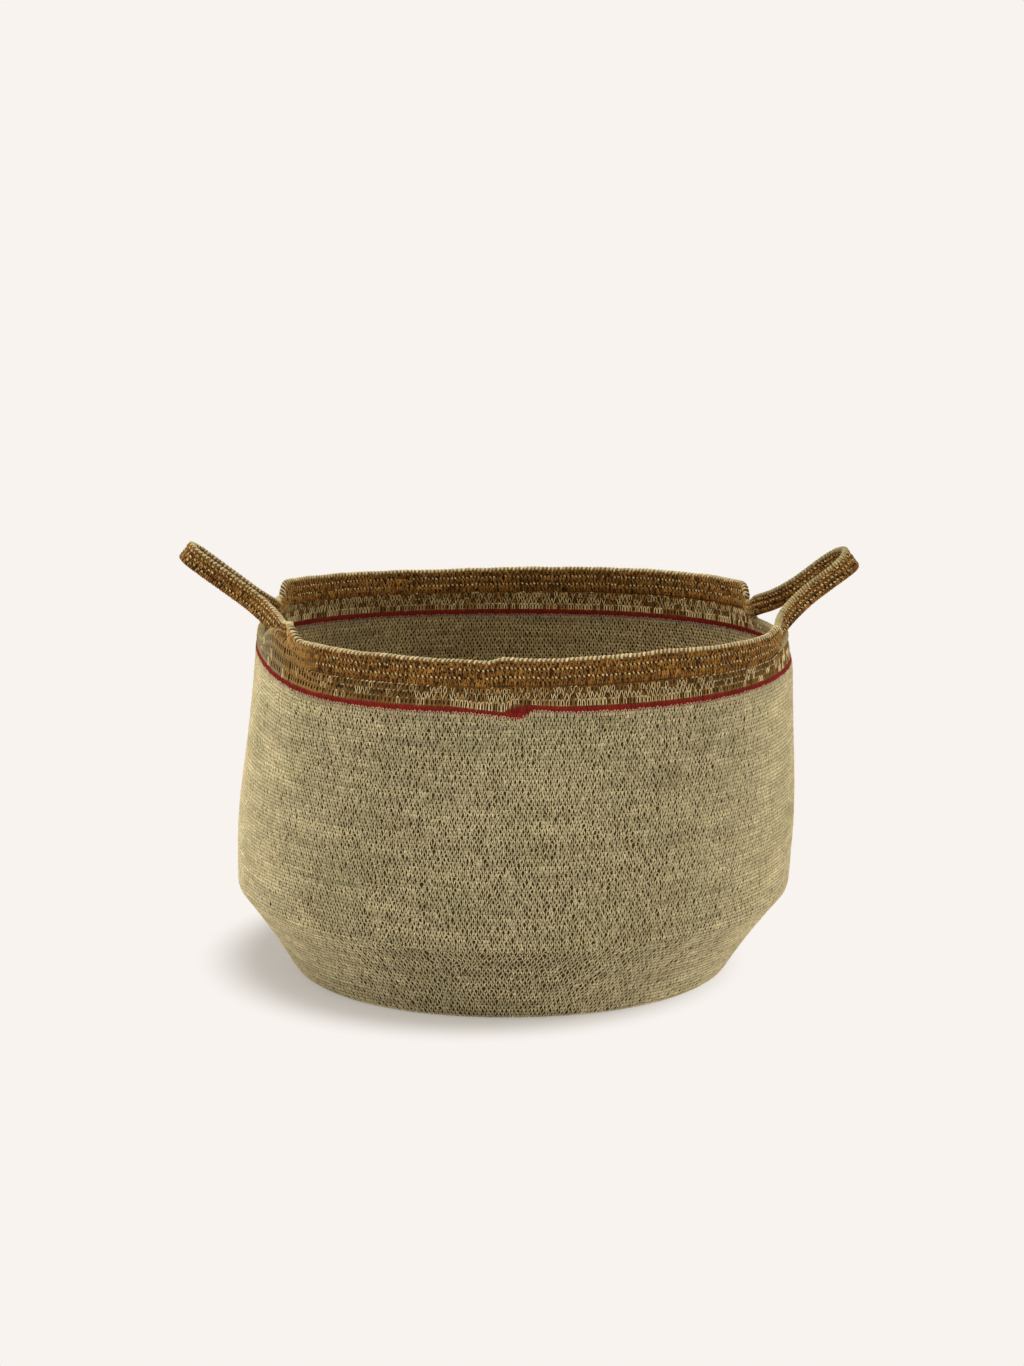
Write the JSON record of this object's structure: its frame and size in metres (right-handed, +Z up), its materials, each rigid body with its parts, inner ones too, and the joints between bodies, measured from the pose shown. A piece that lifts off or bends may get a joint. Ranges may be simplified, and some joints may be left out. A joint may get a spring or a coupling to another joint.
{
  "type": "seagrass basket",
  "caption": "Round belly basket of coiled seagrass with a brown and red banded rim and a springy woven loop handle at each end.",
  "frame": {"origin": "centre of the flat base, on the floor", "axes": "+X from the left handle to the right handle, +Y from the front to the back, +Z up"},
  "size_m": [0.506, 0.4168, 0.3231],
  "materials": {
    "seagrass_base": "matt dry grass, coiled flat",
    "seagrass_body": "matt greenish beige grass, fine looped stitches",
    "red_grass": "matt grass dyed red",
    "mixed_grass": "brown grass with pale zigzag stitches",
    "brown_grass": "grass dyed brown, slightly glossy, with pale stitch dots",
    "cream_binding": "pale undyed grass whipped over the edge"
  },
  "bodies": {
    "basket": {"base_start": "seagrass_base", "base_floor": "seagrass_base", "base_heel": "seagrass_base", "lower_wall": "seagrass_body", "upper_wall": "seagrass_body", "red_course": "red_grass", "mixed_course_lower": "mixed_grass", "mixed_course_middle": "mixed_grass", "mixed_course_upper": "mixed_grass", "front_brown_course_lower": "brown_grass", "front_brown_course_middle": "brown_grass", "front_brown_course_upper": "brown_grass", "front_edge_binding": "cream_binding", "back_brown_course_lower": "brown_grass", "back_brown_course_middle": "brown_grass", "back_brown_course_upper": "brown_grass", "back_edge_binding": "cream_binding"},
    "left_handle": {"left_handle_course_lower": "brown_grass", "left_handle_course_middle": "brown_grass", "left_handle_course_upper": "brown_grass", "left_handle_binding": "cream_binding"},
    "right_handle": {"right_handle_course_lower": "brown_grass", "right_handle_course_middle": "brown_grass", "right_handle_course_upper": "brown_grass", "right_handle_binding": "cream_binding"}
  },
  "joints": [
    {"name": "left_handle_bend", "type": "hinge", "parent": "basket", "child": "left_handle", "pos_m": [-0.1632, 0, 0.2577], "axis": [0, 1, 0], "range_deg": [-30, 50], "stiffness_Nm_per_rad": 0.08, "springref_deg": 2.29},
    {"name": "right_handle_bend", "type": "hinge", "parent": "basket", "child": "right_handle", "pos_m": [0.1933, 0, 0.2577], "axis": [0, -1, 0], "range_deg": [-30, 50], "stiffness_Nm_per_rad": 0.08, "springref_deg": 2.29}
  ]
}
